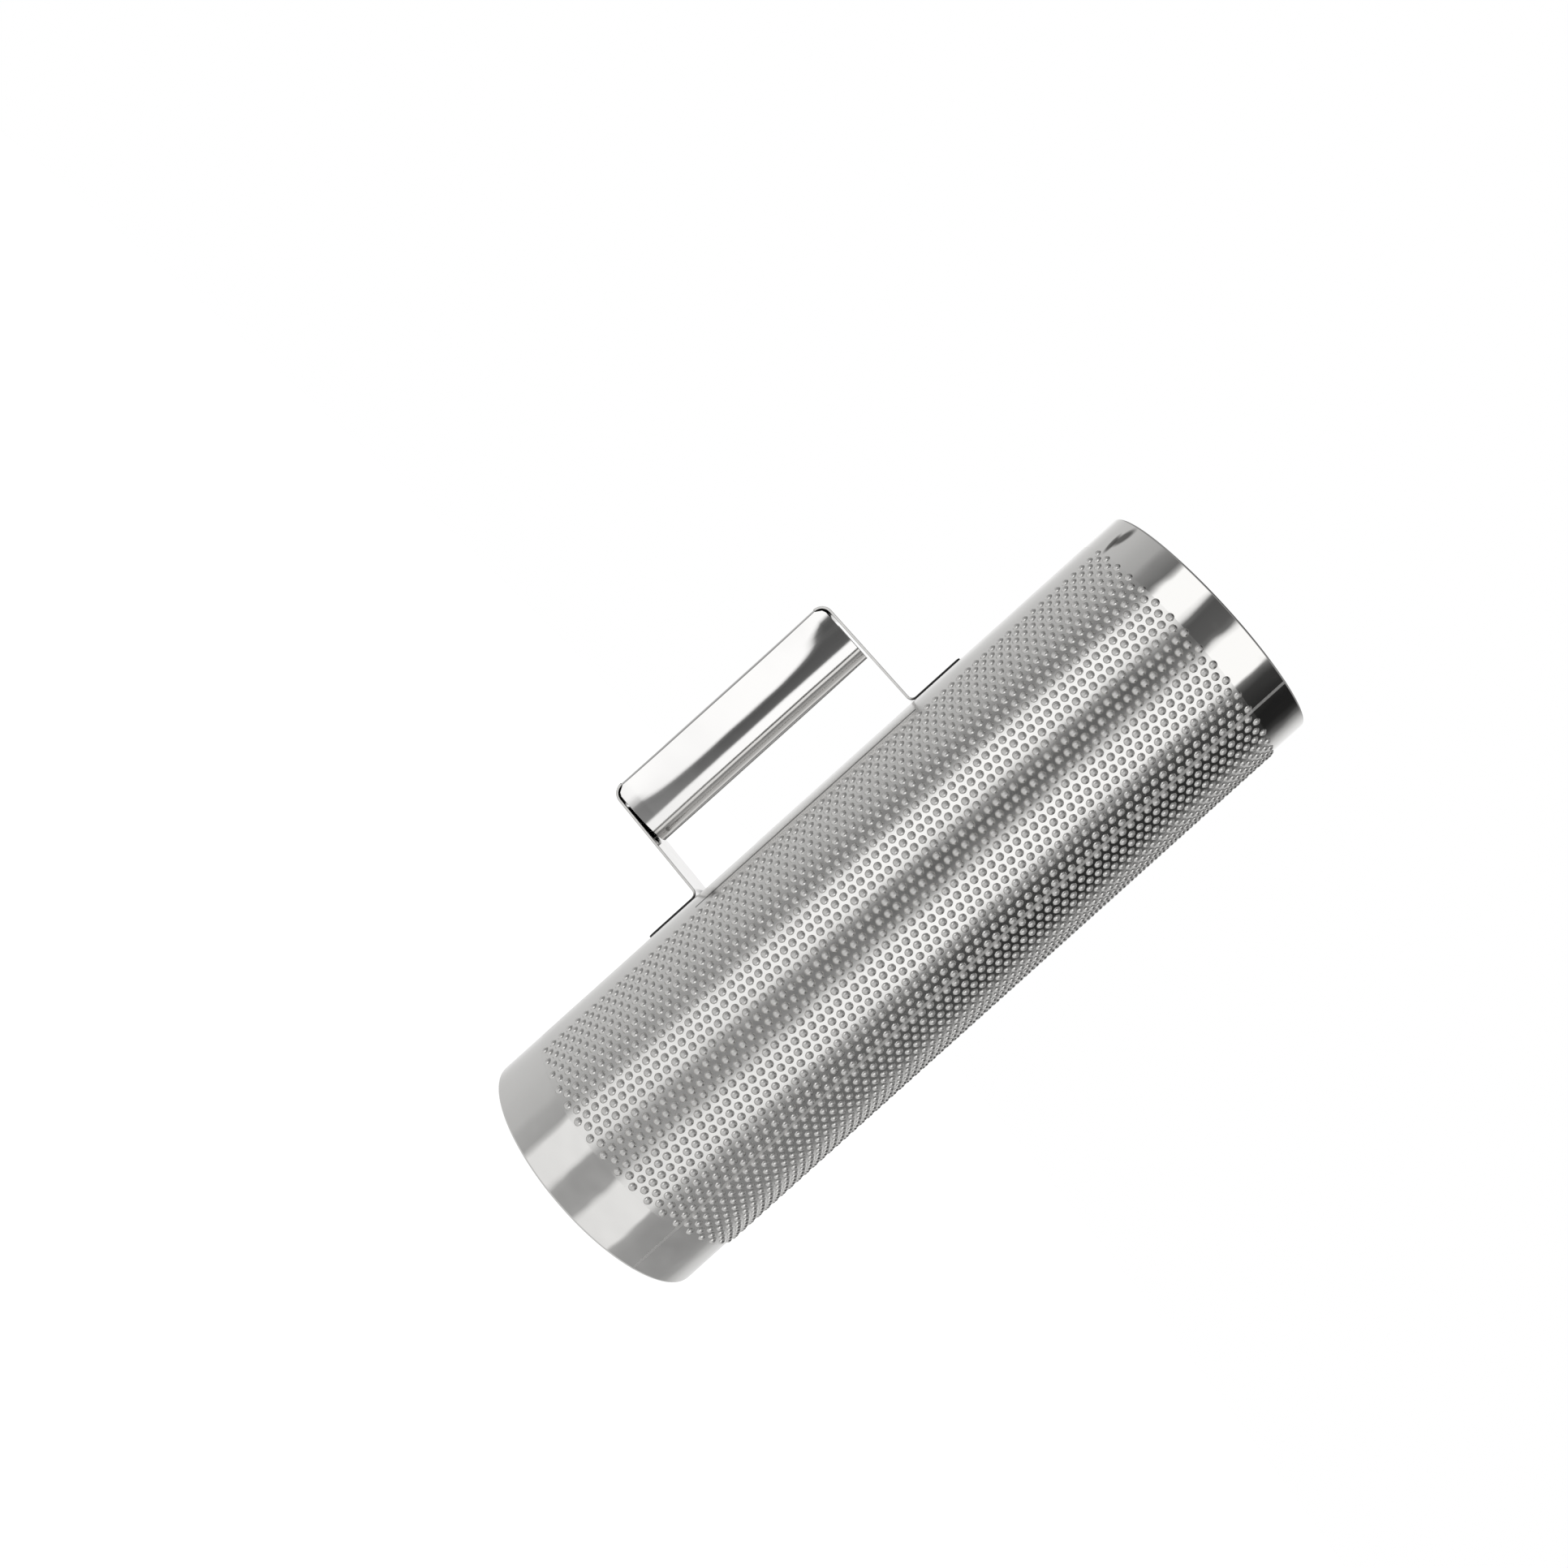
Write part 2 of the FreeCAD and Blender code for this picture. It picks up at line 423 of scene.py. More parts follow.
@dataclass
class PressedTube:
    """The tube: one sheet with pressed bumps, rolled up and butt-welded along one line."""

    radius: float = 51.0 * MM
    length: float = 302.0 * MM
    sheet: float = 1.0 * MM
    rim_outside: float = 0.8 * MM
    rim_inside: float = 0.12 * MM
    rows: int = 88
    pitch: float = 3.87 * MM
    first_bump: float = 22.5 * MM
    bumps_in_row: int = 69
    bump_height: float = 0.9 * MM
    bump_radius: float = 1.52 * MM
    seat_half_angle: float = math.radians(39.3)
    seam_row: float = 34.5
    # Where the two painted shade lines beside the handle lie, and their width.
    shade_line_half_angle: float = math.radians(34.7)
    shade_line_width_mm: float = 1.3
    sectors: int = 8
    steps: int = field(default_factory=lambda: 6)

    @property
    def row_angle(self) -> float:
        """The angle between two rows of bumps."""
        return 2 * math.pi / self.rows

    @property
    def seam_azimuth(self) -> float:
        """Where the welded seam is, as an angle from +X."""
        return math.pi + self.seam_row * self.row_angle

    def scribed_lines(self, low: float, high: float) -> tuple[tuple[float, float, float, float], ...]:
        """List the painted shade lines on the tube: two dark lines beside the handle, between its uprights.

        Args:
            low: The lower end of the two lines beside the handle.
            high: Their upper end.

        Returns:
            For each line its angle from +X, its width in millimetres and the heights of its two ends.
        """
        return (
            (math.pi - self.shade_line_half_angle, self.shade_line_width_mm, low, high),
            (math.pi + self.shade_line_half_angle, self.shade_line_width_mm, low, high),
        )

    def heights_along(self) -> list[float]:
        """List the grid's heights: a few in the plain bands, and even steps through the bumps.

        Returns:
            Heights above the lower rim, in order.
        """
        step = self.pitch / self.steps
        low = self.first_bump - self.pitch / 2
        count = self.bumps_in_row * self.steps
        high = low + count * step
        lower_band = [low * k / 5 for k in range(5)]
        field_steps = [low + k * step for k in range(count + 1)]
        upper_band = [high + (self.length - high) * k / 4 for k in range(1, 5)]
        return lower_band + field_steps + upper_band

    def flat_sheet(self, columns: int, heights: Sequence[float], width: float) -> bmesh.types.BMesh:
        """Lay out one strip of the flat sheet, give it its thickness and round its two cut ends.

        Args:
            columns: Faces across the strip.
            heights: Where each line of the grid lies along the tube.
            width: The strip's width round the tube.

        Returns:
            The strip in the XY plane, with its outer face at z = 0.
        """
        bm = bmesh.new()
        bmesh.ops.create_grid(bm, x_segments=columns, y_segments=len(heights) - 1, size=0.5)
        for vert in bm.verts:
            line = round((vert.co.y + 0.5) * (len(heights) - 1))
            vert.co.x = (vert.co.x + 0.5) * width
            vert.co.y = heights[line]
        bmesh.ops.solidify(bm, geom=bm.faces[:], thickness=self.sheet)
        top = max(vert.co.z for vert in bm.verts)
        bmesh.ops.translate(bm, verts=bm.verts[:], vec=(0.0, 0.0, -top))
        for face, size in ((0.0, self.rim_outside), (-self.sheet, self.rim_inside)):
            rim = [
                edge
                for edge in bm.edges
                if all(abs(v.co.z - face) < CLOSE for v in edge.verts)
                and any(all(abs(v.co.y - end) < CLOSE for v in edge.verts) for end in (0.0, self.length))
            ]
            bmesh.ops.bevel(
                bm,
                geom=rim,
                offset=size,
                offset_type="OFFSET",
                affect="EDGES",
                segments=4,
                profile=0.5,
                material=-1,
            )
        return bm

    def from_bump(self, row: np.ndarray, height: np.ndarray) -> tuple[np.ndarray, np.ndarray]:
        """Give the way to each point of the sheet from the middle of the nearest bump.

        Args:
            row: Places round the tube, counted in rows from the handle.
            height: Places along the tube.

        Returns:
            The distances round the tube and along it.
        """
        nearest = np.round(row)
        odd = np.mod(nearest, 2) > 0.5
        start = self.first_bump + np.where(odd, self.pitch / 2, 0.0)
        last = np.where(odd, self.bumps_in_row - 2, self.bumps_in_row - 1)
        centre = start + np.clip(np.round((height - start) / self.pitch), 0, last) * self.pitch
        return (row - nearest) * self.row_angle * self.radius, height - centre

    def ring_number(self, row: np.ndarray, along: np.ndarray) -> np.ndarray:
        """Number the grid's lines round each bump, which are drawn into rings.

        Args:
            row: Places round the tube, counted in rows from the handle.
            along: Distances along the tube from the nearest bump.

        Returns:
            0 at a bump's middle, 1 and up outwards, and OFF_BUMP on the plain seat.
        """
        nearest = np.round(row)
        ring = np.round(np.maximum(np.abs(row - nearest), np.abs(along) / self.pitch) * self.steps)
        turn = np.mod(nearest * self.row_angle + math.pi, 2 * math.pi) - math.pi
        return np.where(np.abs(turn) < self.seat_half_angle, OFF_BUMP, ring)

    @property
    def rings(self) -> int:
        """How many rings of faces a bump has."""
        return self.steps // 2 - 1

    def cap_slope(self, reach: np.ndarray) -> tuple[np.ndarray, np.ndarray]:
        """Give the height and slope of a bump, which is a cap of a ball.

        Args:
            reach: Distances from the bump's middle.

        Returns:
            The height over the sheet and the slope outwards.
        """
        ball = (self.bump_radius**2 + self.bump_height**2) / (2 * self.bump_height)
        inside = np.minimum(reach, self.bump_radius)
        depth = np.sqrt(ball**2 - inside**2)
        return depth - (ball - self.bump_height), -inside / depth

    def roll(self, mesh: bpy.types.Mesh, first_row: float) -> None:
        """Press the bumps into a flat strip, roll it to the cylinder and set its normals.

        Args:
            mesh: The strip, from flat_sheet.
            first_row: The row at which the strip starts.
        """
        flat = np.empty(len(mesh.vertices) * 3)
        mesh.vertices.foreach_get("co", flat)
        flat = flat.reshape(-1, 3)
        row = first_row + flat[:, 0] / (self.row_angle * self.radius)
        around, along = self.from_bump(row, flat[:, 1])
        ring = self.ring_number(row, along)
        pressed = ring <= self.rings
        drawn = ring / self.rings * self.bump_radius / np.maximum(np.hypot(around, along), 1e-9) - 1
        drawn = np.where(pressed, drawn, 0.0)
        azimuth = math.pi + row * self.row_angle + around * drawn / self.radius
        height = flat[:, 1] + along * drawn
        around, along = around * (1 + drawn), along * (1 + drawn)
        reach = np.hypot(around, along)
        lift, slope = self.cap_slope(reach)
        lift = np.where(pressed, lift, 0.0)
        out = np.stack([np.cos(azimuth), np.sin(azimuth), np.zeros(len(row))], axis=1)
        side = np.stack([-np.sin(azimuth), np.cos(azimuth), np.zeros(len(row))], axis=1)
        up = np.array([0.0, 0.0, 1.0])
        place = out * (self.radius + flat[:, 2] + lift)[:, None] + up * height[:, None]
        mesh.vertices.foreach_set("co", place.ravel())
        facing = np.where(flat[:, 2] > -self.sheet / 2, 1.0, -1.0)[:, None]
        plain = out * facing
        safe = np.maximum(reach, 1e-9)
        leaning = side * (slope * around / safe)[:, None] + up * (slope * along / safe)[:, None]
        domed = (out - leaning) * facing
        plain = self.round_rims(plain, flat, out, up)
        corner = np.empty(len(mesh.loops), dtype=np.int64)
        mesh.loops.foreach_get("vertex_index", corner)
        sizes = np.empty(len(mesh.polygons), dtype=np.int64)
        mesh.polygons.foreach_get("loop_total", sizes)
        starts = np.concatenate([[0], np.cumsum(sizes)[:-1]])
        on_bump = np.repeat(np.logical_and.reduceat(pressed[corner], starts), sizes)
        normal = np.where(on_bump[:, None], domed[corner], plain[corner])
        normal /= np.maximum(np.linalg.norm(normal, axis=1), 1e-12)[:, None]
        mesh.shade_smooth()
        mesh.update()
        mesh.normals_split_custom_set(normal)

    def round_rims(
        self, normal: np.ndarray, flat: np.ndarray, out: np.ndarray, up: np.ndarray
    ) -> np.ndarray:
        """Turn the normals at the two ends to follow the rounded rims.

        Args:
            normal: The normals so far.
            flat: The points on the flat sheet.
            out: The outward direction at each point.
            up: The tube's axis.

        Returns:
            The normals with the rims'.
        """
        from_end = np.minimum(flat[:, 1], self.length - flat[:, 1])
        toward_end = np.where(flat[:, 1] < self.length / 2, -1.0, 1.0)
        outer = flat[:, 2] > -self.rim_outside - CLOSE
        size = np.where(outer, self.rim_outside, self.rim_inside)
        core = np.where(outer, -self.rim_outside, -self.sheet + self.rim_inside)
        rim = out * (flat[:, 2] - core)[:, None] + up * (toward_end * (size - from_end))[:, None]
        return np.where((from_end < size - CLOSE)[:, None], rim, normal)

    def build(self, finish: bpy.types.Material) -> list[bpy.types.Object]:
        """Make the tube in equal sectors that meet between two rows of bumps.

        Args:
            finish: The sheet's material.

        Returns:
            The sectors.
        """
        heights = self.heights_along()
        rows_each = self.rows // self.sectors
        width = rows_each * self.row_angle * self.radius
        made = []
        for number in range(self.sectors):
            bm = self.flat_sheet(rows_each * self.steps, heights, width)
            mesh = bpy.data.meshes.new(f"tube_sector_{number + 1}")
            bm.to_mesh(mesh)
            bm.free()
            self.roll(mesh, self.seam_row + number * rows_each)
            made.append(finished(mesh, [finish]))
        return made


@dataclass
class FoldedHandle:
    """The handle: a strap with two feet and two uprights, and wings folded down along its grip."""

    tube_radius: float = 51.0 * MM
    clearance: float = 0.1 * MM
    sheet: float = 1.0 * MM
    width: float = 20.0 * MM
    low: float = 94.0 * MM
    length: float = 108.0 * MM
    reach: float = 52.5 * MM
    foot: float = 23.5 * MM
    foot_bend: float = 3.0 * MM
    foot_corner: float = 2.5 * MM
    foot_blend: float = 16.0 * MM
    foot_clear: float = 3.0 * MM
    top_bend: float = 5.0 * MM
    shoulder: float = 1.6 * MM
    wing_flat: float = 10.6 * MM
    under: float = 25.4 * MM
    lean_low: float = 0.21
    lean_high: float = 0.385
    lean_most: float = 0.23
    lean_length: float = 30.0 * MM
    lean_drop: float = 22.0 * MM
    lean_full: float = 12.0 * MM
    lean_fades: tuple[float, float] = (9.0 * MM, 16.0 * MM)
    bulge: float = 0.6
    gap: float = 1.0 * MM
    gap_ease: float = 2.6 * MM
    seam: float = 1.2 * MM
    across: int = 12
    along: int = 22
    crowding: float = 0.62

    @property
    def high(self) -> float:
        """The height of the upper upright's outer face."""
        return self.low + self.length

    @property
    def top(self) -> float:
        """The distance of the grip's outer face from the tube's axis."""
        return self.tube_radius + self.reach

    def side_line(self) -> list[tuple[float, float]]:
        """Draw the strap's outer face from the side, from the lower foot's tip to the upper one's.

        Returns:
            Points as distance from the tube's axis and height.
        """
        face = self.tube_radius + self.clearance + self.sheet
        bend = self.foot_bend - self.sheet
        tip = self.low - self.foot
        line = [(face, tip + self.foot_corner * (1 - math.cos(k * math.pi / 8))) for k in range(5)]
        straight = self.foot * 0.75 - self.foot_corner
        line += [(face, tip + self.foot_corner + straight * k / 6) for k in range(1, 7)]
        line += self.arc((face + bend, self.low - bend), bend, 180, 90, 8)
        start, end = face + bend, self.top - self.top_bend
        line += [(start + (end - start) * k / 8, self.low) for k in range(1, 8)]
        line += self.arc((end, self.low + self.top_bend), self.top_bend, -90, 0, 10)
        middle = self.low + self.length / 2
        half = self.length / 2 - self.top_bend
        shares = [1 - (1 - k / self.along) ** self.crowding for k in range(1, self.along)]
        line += [(self.top, middle - half + half * share) for share in shares]
        line += [(self.top, middle)]
        mirrored = [(out, 2 * middle - height) for out, height in reversed(line[:-1])]
        return line + mirrored

    @staticmethod
    def arc(
        centre: tuple[float, float], radius: float, first: float, last: float, steps: int
    ) -> list[tuple[float, float]]:
        """List points on an arc.

        Args:
            centre: Distance from the axis and height.
            radius: The arc's radius.
            first: The angle it starts at, in degrees from the outward direction.
            last: The angle it ends at.
            steps: Number of chords.

        Returns:
            The points, with both ends.
        """
        angles = [math.radians(first + (last - first) * k / steps) for k in range(steps + 1)]
        return [(centre[0] + radius * math.cos(a), centre[1] + radius * math.sin(a)) for a in angles]

    def pinch(self, depth: float, height: float) -> float:
        """Give how far a wing is pinched inward, which it is at the ends of the grip.

        Args:
            depth: Distance below the grip's outer face.
            height: The place along the grip.

        Returns:
            The distance by which the wing is moved towards the middle plane.
        """
        low = max(0.0, 1 - (height - self.low - self.top_bend) / self.lean_length)
        high = max(0.0, 1 - (self.high - self.top_bend - height) / self.lean_length)
        dropped = 1 + (1 - high) * self.lean_length / self.lean_drop
        lean = self.lean_low * low**2 + self.lean_high * high / dropped
        end = min(depth, self.lean_fades[1])
        slices = 40
        run = max(0.0, end - self.shoulder) / slices
        moved = 0.0
        for step in range(slices):
            deep = self.shoulder + (step + 0.5) * run
            grown = min(lean * (deep - self.shoulder) / (self.lean_full - self.shoulder), self.lean_most)
            faded = (self.lean_fades[1] - deep) / (self.lean_fades[1] - self.lean_fades[0])
            moved += grown * min(1.0, faded) * run
        return moved

    def section(self, part: float, height: float) -> tuple[float, float]:
        """Give a point of the wing's section.

        Args:
            part: 0 to 1 round the shoulder, 1 to 2 down the flat, 2 to 3 round the curl.
            height: The place along the grip.

        Returns:
            The distance from the middle plane and the distance below the grip's outer face.
        """
        half = self.width / 2
        most = self.pinch(self.under, height)
        out = self.bulge * most
        if part <= 1:
            angle = part * math.pi / 2
            return (
                half - self.shoulder + (self.shoulder + out) * math.sin(angle),
                self.shoulder - self.shoulder * math.cos(angle),
            )
        if part <= 2:
            away, down = half, self.shoulder + (self.wing_flat - self.shoulder) * (part - 1)
        else:
            last = math.acos((self.seam / 2 + most - out) / half)
            angle = (part - 2) * last
            away = half * math.cos(angle)
            down = self.wing_flat + (self.under - self.wing_flat) * math.sin(angle)
        return away + out - self.pinch(down, height), down

    def strap(self, bm: bmesh.types.BMesh) -> None:
        """Draw the strap's side line and pull it across to the strap's width.

        Args:
            bm: The mesh that gets the strap.
        """
        line = self.side_line()
        half = self.width / 2
        inner = half - self.shoulder
        stations = [-half] + [-inner + 2 * inner * k / self.across for k in range(self.across + 1)] + [half]
        verts = [bm.verts.new((-out, stations[0], height)) for out, height in line]
        edges = [bm.edges.new(pair) for pair in zip(verts, verts[1:])]
        for before, after in zip(stations, stations[1:]):
            grown = bmesh.ops.extrude_edge_only(bm, edges=edges)["geom"]
            verts = [item for item in grown if isinstance(item, bmesh.types.BMVert)]
            edges = [
                item
                for item in grown
                if isinstance(item, bmesh.types.BMEdge) and all(v in set(verts) for v in item.verts)
            ]
            bmesh.ops.translate(bm, verts=verts, vec=(0.0, after - before, 0.0))

    def fold_wings(self, bm: bmesh.types.BMesh) -> None:
        """Cut the strap's edges along the grip and fold the wings down from there.

        Args:
            bm: The mesh with the flat strap.
        """
        half = self.width / 2
        inner = half - self.shoulder
        first = self.low + self.top_bend - CLOSE
        last = self.high - self.top_bend + CLOSE
        spare = [
            face
            for face in bm.faces
            if abs(face.calc_center_median().y) > inner
            and all(first < v.co.z < last and abs(v.co.x + self.top) < CLOSE for v in face.verts)
        ]
        bmesh.ops.delete(bm, geom=spare, context="FACES")
        parts = [k / 5 for k in range(1, 6)]
        parts += [1 + k / 6 for k in range(1, 7)]
        parts += [2 + k / 18 for k in range(1, 19)]
        for side in (-1.0, 1.0):
            edges = [
                edge
                for edge in bm.edges
                if edge.is_boundary
                and all(abs(v.co.y - side * inner) < CLOSE and first < v.co.z < last for v in edge.verts)
            ]
            for part in parts:
                grown = bmesh.ops.extrude_edge_only(bm, edges=edges)["geom"]
                verts = {item for item in grown if isinstance(item, bmesh.types.BMVert)}
                edges = [
                    item
                    for item in grown
                    if isinstance(item, bmesh.types.BMEdge) and all(v in verts for v in item.verts)
                ]
                for vert in verts:
                    away, down = self.section(part, vert.co.z)
                    vert.co.y = side * away
                    vert.co.x = -(self.top - down)
        overhang = self.top_bend - self.sheet - self.gap
        for vert in bm.verts:
            down = self.top + vert.co.x
            if abs(vert.co.y) < half - CLOSE and down < self.shoulder:
                continue
            ends = (self.low + self.top_bend, self.high - self.top_bend)
            near = [abs(vert.co.z - end) < 10 * CLOSE for end in ends]
            if down > self.shoulder and any(near):
                ease = min(1.0, (down - self.shoulder) / self.gap_ease)
                shift = overhang * math.sin(ease * math.pi / 2)
                vert.co.z += -shift if near[0] else shift

    def seat_feet(self, bm: bmesh.types.BMesh) -> None:
        """Round the corners of the feet, and curve the feet to the tube."""
        reach = self.tube_radius + self.foot_bend + self.foot_blend
        half = self.width / 2
        for vert in bm.verts:
            out = -vert.co.x
            if out > reach or self.low + self.foot_clear < vert.co.z < self.high - self.foot_clear:
                continue
            from_tip = min(vert.co.z - self.low, self.high - vert.co.z) + self.foot
            short = max(0.0, self.foot_corner - from_tip)
            inset = self.foot_corner - math.sqrt(max(0.0, self.foot_corner**2 - short**2))
            vert.co.y *= (half - inset) / half
            share = min(1.0, max(0.0, (reach - out) / self.foot_blend))
            drop = self.tube_radius - math.sqrt(self.tube_radius**2 - vert.co.y**2)
            vert.co.x += drop * share

    def build(self, finishes: list[bpy.types.Material]) -> list[bpy.types.Object]:
        """Make the handle as one folded sheet.

        Args:
            finishes: The polished face, and the cut edge.

        Returns:
            The handle.
        """
        bm = bmesh.new()
        self.strap(bm)
        self.fold_wings(bm)
        self.seat_feet(bm)
        bmesh.ops.remove_doubles(bm, verts=bm.verts[:], dist=10 * CLOSE)
        bmesh.ops.recalc_face_normals(bm, faces=bm.faces[:])
        outer = [face for face in bm.faces if face.calc_center_median().x < 0.1 * MM - self.top]
        outward = sum(face.normal.x * face.calc_area() for face in outer)
        if outward > 0:
            bmesh.ops.reverse_faces(bm, faces=bm.faces[:])
        mesh = bpy.data.meshes.new("handle_sheet")
        bm.to_mesh(mesh)
        bm.free()
        mesh.shade_smooth()
        piece = finished(mesh, finishes)
        wall = piece.modifiers.new("sheet thickness", "SOLIDIFY")
        wall.thickness = self.sheet
        wall.offset = -1.0
        wall.use_even_offset = True
        wall.material_offset_rim = 1
        edge = piece.modifiers.new("broken edges", "BEVEL")
        edge.width = 0.15 * MM
        edge.segments = 2
        edge.limit_method = "ANGLE"
        edge.angle_limit = math.radians(50)
        weight = piece.modifiers.new("flat faces stay flat", "WEIGHTED_NORMAL")
        weight.keep_sharp = True
        return [piece]


def finished(mesh: bpy.types.Mesh, finishes: Sequence[bpy.types.Material]) -> bpy.types.Object:
    """Put a mesh in the scene with its materials, riding on the part's body.

    Args:
        mesh: The finished mesh, already in place.
        finishes: Its materials.

    Returns:
        The object.
    """
    for finish in finishes:
        mesh.materials.append(finish)
    piece = bpy.data.objects.new(mesh.name, mesh)
    bpy.context.scene.collection.objects.link(piece)
    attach(piece, "root")
    LOG.info("%s: %d faces", piece.name, len(mesh.polygons))
    return piece


@dataclass
class Studio:
    """The white studio: soft panels and dark cards that the steel reflects, a pale floor and a lamp."""

    camera_azimuth: float = 11.18
    camera_distance: float = 579.45 * MM
    camera_height: float = 204.64 * MM
    aim_azimuth: float = 13.73
    roll: float = 41.97
    lens: float = 36.01
    shift: tuple[float, float] = (-0.115, -0.0232)
    steel: float = 0.79
    floor_radius: float = 0.9
    # Greys seen in the steel below, above and overhead: where each starts and is full, as the sine of
    # the direction's elevation, and its level.
    levels: tuple[tuple[float, float, float], ...] = (
        (-0.087, -0.575, 192.0),
        (0.19, 0.36, 134.0),
        (0.80, 0.95, 66.0),
    )
    # Grey seen in the steel by the direction that it reflects, in degrees from the camera, + to the handle.
    around: tuple[tuple[float, float], ...] = (
        (-180, 235),
        (-165, 230),
        (-149, 210),
        (-141, 196),
        (-133, 160),
        (-125, 100),
        (-116, 52),
        (-108, 32),
        (-92, 30),
        (-75, 46),
        (-65, 56),
        (-59, 90),
        (-55.5, 120),
        (-52.5, 254),
        (-19.5, 254),
        (-16, 224),
        (-13, 108),
        (-8, 88),
        (8, 80),
        (13, 104),
        (16, 224),
        (19.5, 254),
        (46, 254),
        (49.5, 180),
        (53, 106),
        (67, 130),
        (75, 162),
        (105, 182),
        (133, 190),
        (149, 204),
        (165, 232),
        (180, 235),
    )

    def camera(self) -> None:
        """Set up the camera at the photograph's place, turned on its line of sight."""
        data = bpy.data.cameras.new("camera")
        data.lens = self.lens
        data.sensor_width = 36.0
        data.sensor_fit = "HORIZONTAL"
        data.shift_x, data.shift_y = self.shift
        stand = math.radians(self.camera_azimuth)
        aim = math.radians(self.aim_azimuth)
        roll = math.radians(self.roll)
        back = Vector((math.sin(aim), -math.cos(aim), 0.0))
        level = Vector((-math.cos(aim), -math.sin(aim), 0.0))
        upright = Vector((0.0, 0.0, 1.0))
        right = math.cos(roll) * upright - math.sin(roll) * level
        up = math.sin(roll) * upright + math.cos(roll) * level
        turn = Matrix((right, up, back)).transposed().to_4x4()
        spot = Vector((math.sin(stand), -math.cos(stand), 0.0)) * self.camera_distance
        camera = bpy.data.objects.new("camera", data)
        camera.matrix_world = Matrix.Translation((spot.x, spot.y, self.camera_height)) @ turn
        bpy.context.scene.collection.objects.link(camera)
        bpy.context.scene.camera = camera

    def world(self) -> None:
        """Make the studio's surroundings: white to the camera, with panels and cards in reflections."""
        world = bpy.data.worlds.new("studio")
        world.use_nodes = True
        bpy.context.scene.world = world
        tree = world.node_tree
        tree.nodes.clear()
        look = add_node(tree, "ShaderNodeTexCoord").outputs["Generated"]
        face = math.radians(90 - self.camera_azimuth)
        turned = add_node(tree, "ShaderNodeMapping", Vector=look, Rotation=(0.0, 0.0, face))
        axes = add_node(tree, "ShaderNodeSeparateXYZ", Vector=turned.outputs[0])
        mirrored = maths(tree, "MULTIPLY", axes.outputs["Y"], -1.0)
        angle = maths(tree, "ARCTAN2", mirrored, axes.outputs["X"])
        peak = grey(255) / self.steel
        ramp = add_node(
            tree, "ShaderNodeValToRGB", Fac=maths(tree, "MULTIPLY_ADD", angle, 1 / (2 * math.pi), 0.5)
        )
        self.fill_ramp(ramp.color_ramp, peak)
        sky = ramp.outputs[0]
        for start, full, level in self.levels:
            part = grey(level) / self.steel / peak
            share = ranged(tree, axes.outputs["Z"], (start, full))
            sky = blend(tree, share, sky, (part, part, part, 1.0))
        reflected = add_node(tree, "ShaderNodeBackground", Color=sky, Strength=peak)
        plain = add_node(tree, "ShaderNodeBackground", Color=(1.0, 1.0, 1.0, 1.0), Strength=0.6)
        white = add_node(tree, "ShaderNodeBackground", Color=(1.0, 1.0, 1.0, 1.0), Strength=1.0)
        ray = add_node(tree, "ShaderNodeLightPath")
        clear = maths(tree, "MAXIMUM", ray.outputs["Is Camera Ray"], ray.outputs["Is Transmission Ray"])
        gloss = add_node(
            tree,
            "ShaderNodeMixShader",
            in0=ray.outputs["Is Glossy Ray"],
            in1=plain.outputs[0],
            in2=reflected.outputs[0],
        )
        seen = add_node(
            tree, "ShaderNodeMixShader", in0=clear, in1=gloss.outputs[0], in2=white.outputs[0]
        )
        add_node(tree, "ShaderNodeOutputWorld", Surface=seen.outputs[0])

    def fill_ramp(self, ramp: bpy.types.ColorRamp, peak: float) -> None:
        """Write the greys round the studio into a colour ramp.

        Args:
            ramp: The ramp, with its two first stops.
            peak: The strength that stands for 1 in the ramp.
        """
        ramp.interpolation = "LINEAR"
        for number, (angle, level) in enumerate(self.around):
            place = angle / 360 + 0.5
            if number == 0:
                stop = ramp.elements[0]
            elif number == len(self.around) - 1:
                stop = ramp.elements[-1]
            else:
                stop = ramp.elements.new(place)
            stop.position = place
            value = grey(level) / self.steel / peak
            stop.color = (value, value, value, 1.0)

    def floor(self) -> None:
        """Lay a pale round floor that keeps the object's soft shadow."""
        bm = bmesh.new()
        bmesh.ops.create_circle(bm, cap_ends=True, segments=64, radius=self.floor_radius)
        mesh = bpy.data.meshes.new("floor")
        bm.to_mesh(mesh)
        bm.free()
        floor = bpy.data.objects.new("floor", mesh)
        floor.visible_glossy = False
        paint = bpy.data.materials.new("pale painted floor")
        paint.use_nodes = True
        tree = paint.node_tree
        tree.nodes.clear()
        ray = add_node(tree, "ShaderNodeLightPath")
        matt = add_node(tree, "ShaderNodeBsdfDiffuse", Color=(0.5, 0.5, 0.5, 1.0))
        lift = maths(tree, "MULTIPLY", ray.outputs["Is Camera Ray"], 0.8)
        glow = add_node(tree, "ShaderNodeEmission", Color=(1.0, 1.0, 1.0, 1.0), Strength=lift)
        both = add_node(tree, "ShaderNodeAddShader", in0=matt.outputs[0], in1=glow.outputs[0])
        add_node(tree, "ShaderNodeOutputMaterial", Surface=both.outputs[0])
        mesh.materials.append(paint)
        bpy.context.scene.collection.objects.link(floor)

    def lamp(self) -> None:
        """Hang one soft lamp above, which gives the floor its shadow."""
        data = bpy.data.lights.new("soft lamp", "AREA")
        data.shape = "DISK"
        data.size = 0.9
        data.energy = 6.0
        lamp = bpy.data.objects.new("soft lamp", data)
        lamp.location = (0.25, -0.45, 1.1)
        lamp.rotation_euler = (Vector((0.0, 0.0, 0.1)) - lamp.location).to_track_quat("-Z", "Y").to_euler()
        lamp.visible_glossy = False
        bpy.context.scene.collection.objects.link(lamp)

